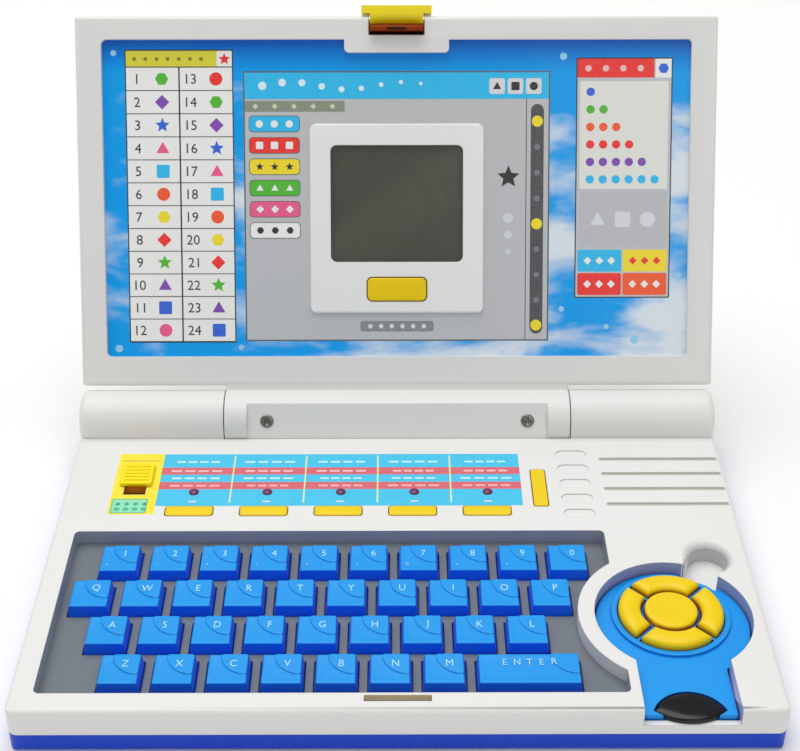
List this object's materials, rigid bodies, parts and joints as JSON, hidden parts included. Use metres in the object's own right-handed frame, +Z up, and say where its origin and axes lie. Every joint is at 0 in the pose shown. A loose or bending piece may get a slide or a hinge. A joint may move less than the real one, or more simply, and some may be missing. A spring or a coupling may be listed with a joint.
{
  "type": "toy laptop computer",
  "caption": "Toy laptop with a flat base of letter keys, a hinged lid with a small screen and picture panel, a slide switch, control buttons and a mouse that docks beside the keys.",
  "frame": {"origin": "centre of the base's flat underside", "axes": "+X to the right along the keyboard rows, +Y from the front edge towards the hinge, +Z up through the keys; the lid stands open as in use"},
  "size_m": [0.265, 0.2567, 0.173],
  "materials": {
    "white_casing": "satin",
    "blue_casing": "satin",
    "grey_deck": "matte",
    "dome_sheet": "matte",
    "circuit_board": "satin",
    "speaker": "matte",
    "cell": "gloss",
    "screw": "satin",
    "picture": "gloss",
    "clear_window": "gloss",
    "display": "gloss",
    "light_blue": "gloss",
    "yellow_button": "gloss",
    "dark_window": "gloss"
  },
  "bodies": {
    "base": {"base_top_shell": "white_casing", "base_bottom_shell": "blue_casing", "key_deck": "grey_deck", "key_dome_sheet": "dome_sheet", "circuit_boards": "circuit_board", "speaker": "speaker", "battery_door": "blue_casing", "battery_cells": "cell", "base_screws": "screw"},
    "lid": {"lid_front_shell": "white_casing", "lid_back_shell": "white_casing", "picture_panel": "picture", "lcd_window": "clear_window", "lcd_panel": "display", "lid_screws": "screw"},
    "latch": {"latch": "yellow_button"},
    "mouse": {"mouse_top_shell": "light_blue", "mouse_bottom_shell": "blue_casing", "mouse_window": "dark_window"},
    "slider": {"activity_slider": "yellow_button"},
    "power": {"power_button": "yellow_button"},
    "function_1": {"function_button_1": "yellow_button"},
    "function_2": {"function_button_2": "yellow_button"},
    "function_3": {"function_button_3": "yellow_button"},
    "function_4": {"function_button_4": "yellow_button"},
    "function_5": {"function_button_5": "yellow_button"},
    "screen_press": {"screen_button": "yellow_button"},
    "mouse_ok": {"mouse_ok_button": "yellow_button"},
    "mouse_up": {"mouse_up_button": "yellow_button"},
    "mouse_left": {"mouse_left_button": "yellow_button"},
    "mouse_down": {"mouse_down_button": "yellow_button"},
    "mouse_right": {"mouse_right_button": "yellow_button"},
    "enter": {"enter_key": "light_blue"},
    "numbers": {"number_keys": "light_blue"},
    "letter_q": {"key_q": "light_blue"},
    "letter_w": {"key_w": "light_blue"},
    "letter_e": {"key_e": "light_blue"},
    "letter_r": {"key_r": "light_blue"},
    "letter_t": {"key_t": "light_blue"},
    "letter_y": {"key_y": "light_blue"},
    "letter_u": {"key_u": "light_blue"},
    "letter_i": {"key_i": "light_blue"},
    "letter_o": {"key_o": "light_blue"},
    "letter_p": {"key_p": "light_blue"},
    "letter_a": {"key_a": "light_blue"},
    "letter_s": {"key_s": "light_blue"},
    "letter_d": {"key_d": "light_blue"},
    "letter_f": {"key_f": "light_blue"},
    "letter_g": {"key_g": "light_blue"},
    "letter_h": {"key_h": "light_blue"},
    "letter_j": {"key_j": "light_blue"},
    "letter_k": {"key_k": "light_blue"},
    "letter_l": {"key_l": "light_blue"},
    "letter_z": {"key_z": "light_blue"},
    "letter_x": {"key_x": "light_blue"},
    "letter_c": {"key_c": "light_blue"},
    "letter_v": {"key_v": "light_blue"},
    "letter_b": {"key_b": "light_blue"},
    "letter_n": {"key_n": "light_blue"},
    "letter_m": {"key_m": "light_blue"}
  },
  "joints": [
    {"name": "lid_hinge", "type": "hinge", "parent": "base", "child": "lid", "pos_m": [0, 0.0775, 0.0209], "axis": [1, 0, 0], "range_deg": [0, 117.7]},
    {"name": "latch_swing", "type": "hinge", "parent": "lid", "child": "latch", "pos_m": [0, 0.16133, 0.16121], "axis": [1, 0, 0], "range_deg": [0, 3.4], "stiffness_Nm_per_rad": 0.02, "springref_deg": -5.16},
    {"name": "mouse_lift", "type": "slide", "parent": "base", "child": "mouse", "axis": [0, 0, 1], "range_m": [0, 0.04]},
    {"name": "activity_slide", "type": "slide", "parent": "base", "child": "slider", "axis": [0, -1, 0], "range_m": [0, 0.0065]},
    {"name": "power_press", "type": "slide", "parent": "base", "child": "power", "axis": [0, 0, -1], "range_m": [0, 0.0012], "stiffness_N_per_m": 150, "springref_m": -0.001},
    {"name": "function_1_press", "type": "slide", "parent": "base", "child": "function_1", "axis": [0, 0, -1], "range_m": [0, 0.0012], "stiffness_N_per_m": 150, "springref_m": -0.001},
    {"name": "function_2_press", "type": "slide", "parent": "base", "child": "function_2", "axis": [0, 0, -1], "range_m": [0, 0.0012], "stiffness_N_per_m": 150, "springref_m": -0.001},
    {"name": "function_3_press", "type": "slide", "parent": "base", "child": "function_3", "axis": [0, 0, -1], "range_m": [0, 0.0012], "stiffness_N_per_m": 150, "springref_m": -0.001},
    {"name": "function_4_press", "type": "slide", "parent": "base", "child": "function_4", "axis": [0, 0, -1], "range_m": [0, 0.0012], "stiffness_N_per_m": 150, "springref_m": -0.001},
    {"name": "function_5_press", "type": "slide", "parent": "base", "child": "function_5", "axis": [0, 0, -1], "range_m": [0, 0.0012], "stiffness_N_per_m": 150, "springref_m": -0.001},
    {"name": "screen_button_press", "type": "slide", "parent": "lid", "child": "screen_press", "axis": [0, 0.8854, -0.4648], "range_m": [0, 0.001], "stiffness_N_per_m": 150, "springref_m": -0.001},
    {"name": "mouse_ok_press", "type": "slide", "parent": "mouse", "child": "mouse_ok", "axis": [0, 0, -1], "range_m": [0, 0.0008], "stiffness_N_per_m": 150, "springref_m": -0.001},
    {"name": "mouse_up_press", "type": "slide", "parent": "mouse", "child": "mouse_up", "axis": [0, 0, -1], "range_m": [0, 0.0008], "stiffness_N_per_m": 150, "springref_m": -0.001},
    {"name": "mouse_left_press", "type": "slide", "parent": "mouse", "child": "mouse_left", "axis": [0, 0, -1], "range_m": [0, 0.0008], "stiffness_N_per_m": 150, "springref_m": -0.001},
    {"name": "mouse_down_press", "type": "slide", "parent": "mouse", "child": "mouse_down", "axis": [0, 0, -1], "range_m": [0, 0.0008], "stiffness_N_per_m": 150, "springref_m": -0.001},
    {"name": "mouse_right_press", "type": "slide", "parent": "mouse", "child": "mouse_right", "axis": [0, 0, -1], "range_m": [0, 0.0008], "stiffness_N_per_m": 150, "springref_m": -0.001},
    {"name": "enter_press", "type": "slide", "parent": "base", "child": "enter", "axis": [0, 0, -1], "range_m": [0, 0.0018], "stiffness_N_per_m": 200, "springref_m": -0.001},
    {"name": "number_row_press", "type": "slide", "parent": "base", "child": "numbers", "axis": [0, 0, -1], "range_m": [0, 0.0018], "stiffness_N_per_m": 600, "springref_m": -0.001},
    {"name": "key_q_press", "type": "slide", "parent": "base", "child": "letter_q", "axis": [0, 0, -1], "range_m": [0, 0.0018], "stiffness_N_per_m": 100, "springref_m": -0.001},
    {"name": "key_w_press", "type": "slide", "parent": "base", "child": "letter_w", "axis": [0, 0, -1], "range_m": [0, 0.0018], "stiffness_N_per_m": 100, "springref_m": -0.001},
    {"name": "key_e_press", "type": "slide", "parent": "base", "child": "letter_e", "axis": [0, 0, -1], "range_m": [0, 0.0018], "stiffness_N_per_m": 100, "springref_m": -0.001},
    {"name": "key_r_press", "type": "slide", "parent": "base", "child": "letter_r", "axis": [0, 0, -1], "range_m": [0, 0.0018], "stiffness_N_per_m": 100, "springref_m": -0.001},
    {"name": "key_t_press", "type": "slide", "parent": "base", "child": "letter_t", "axis": [0, 0, -1], "range_m": [0, 0.0018], "stiffness_N_per_m": 100, "springref_m": -0.001},
    {"name": "key_y_press", "type": "slide", "parent": "base", "child": "letter_y", "axis": [0, 0, -1], "range_m": [0, 0.0018], "stiffness_N_per_m": 100, "springref_m": -0.001},
    {"name": "key_u_press", "type": "slide", "parent": "base", "child": "letter_u", "axis": [0, 0, -1], "range_m": [0, 0.0018], "stiffness_N_per_m": 100, "springref_m": -0.001},
    {"name": "key_i_press", "type": "slide", "parent": "base", "child": "letter_i", "axis": [0, 0, -1], "range_m": [0, 0.0018], "stiffness_N_per_m": 100, "springref_m": -0.001},
    {"name": "key_o_press", "type": "slide", "parent": "base", "child": "letter_o", "axis": [0, 0, -1], "range_m": [0, 0.0018], "stiffness_N_per_m": 100, "springref_m": -0.001},
    {"name": "key_p_press", "type": "slide", "parent": "base", "child": "letter_p", "axis": [0, 0, -1], "range_m": [0, 0.0018], "stiffness_N_per_m": 100, "springref_m": -0.001},
    {"name": "key_a_press", "type": "slide", "parent": "base", "child": "letter_a", "axis": [0, 0, -1], "range_m": [0, 0.0018], "stiffness_N_per_m": 100, "springref_m": -0.001},
    {"name": "key_s_press", "type": "slide", "parent": "base", "child": "letter_s", "axis": [0, 0, -1], "range_m": [0, 0.0018], "stiffness_N_per_m": 100, "springref_m": -0.001},
    {"name": "key_d_press", "type": "slide", "parent": "base", "child": "letter_d", "axis": [0, 0, -1], "range_m": [0, 0.0018], "stiffness_N_per_m": 100, "springref_m": -0.001},
    {"name": "key_f_press", "type": "slide", "parent": "base", "child": "letter_f", "axis": [0, 0, -1], "range_m": [0, 0.0018], "stiffness_N_per_m": 100, "springref_m": -0.001},
    {"name": "key_g_press", "type": "slide", "parent": "base", "child": "letter_g", "axis": [0, 0, -1], "range_m": [0, 0.0018], "stiffness_N_per_m": 100, "springref_m": -0.001},
    {"name": "key_h_press", "type": "slide", "parent": "base", "child": "letter_h", "axis": [0, 0, -1], "range_m": [0, 0.0018], "stiffness_N_per_m": 100, "springref_m": -0.001},
    {"name": "key_j_press", "type": "slide", "parent": "base", "child": "letter_j", "axis": [0, 0, -1], "range_m": [0, 0.0018], "stiffness_N_per_m": 100, "springref_m": -0.001},
    {"name": "key_k_press", "type": "slide", "parent": "base", "child": "letter_k", "axis": [0, 0, -1], "range_m": [0, 0.0018], "stiffness_N_per_m": 100, "springref_m": -0.001},
    {"name": "key_l_press", "type": "slide", "parent": "base", "child": "letter_l", "axis": [0, 0, -1], "range_m": [0, 0.0018], "stiffness_N_per_m": 100, "springref_m": -0.001},
    {"name": "key_z_press", "type": "slide", "parent": "base", "child": "letter_z", "axis": [0, 0, -1], "range_m": [0, 0.0018], "stiffness_N_per_m": 100, "springref_m": -0.001},
    {"name": "key_x_press", "type": "slide", "parent": "base", "child": "letter_x", "axis": [0, 0, -1], "range_m": [0, 0.0018], "stiffness_N_per_m": 100, "springref_m": -0.001},
    {"name": "key_c_press", "type": "slide", "parent": "base", "child": "letter_c", "axis": [0, 0, -1], "range_m": [0, 0.0018], "stiffness_N_per_m": 100, "springref_m": -0.001},
    {"name": "key_v_press", "type": "slide", "parent": "base", "child": "letter_v", "axis": [0, 0, -1], "range_m": [0, 0.0018], "stiffness_N_per_m": 100, "springref_m": -0.001},
    {"name": "key_b_press", "type": "slide", "parent": "base", "child": "letter_b", "axis": [0, 0, -1], "range_m": [0, 0.0018], "stiffness_N_per_m": 100, "springref_m": -0.001},
    {"name": "key_n_press", "type": "slide", "parent": "base", "child": "letter_n", "axis": [0, 0, -1], "range_m": [0, 0.0018], "stiffness_N_per_m": 100, "springref_m": -0.001},
    {"name": "key_m_press", "type": "slide", "parent": "base", "child": "letter_m", "axis": [0, 0, -1], "range_m": [0, 0.0018], "stiffness_N_per_m": 100, "springref_m": -0.001}
  ]
}
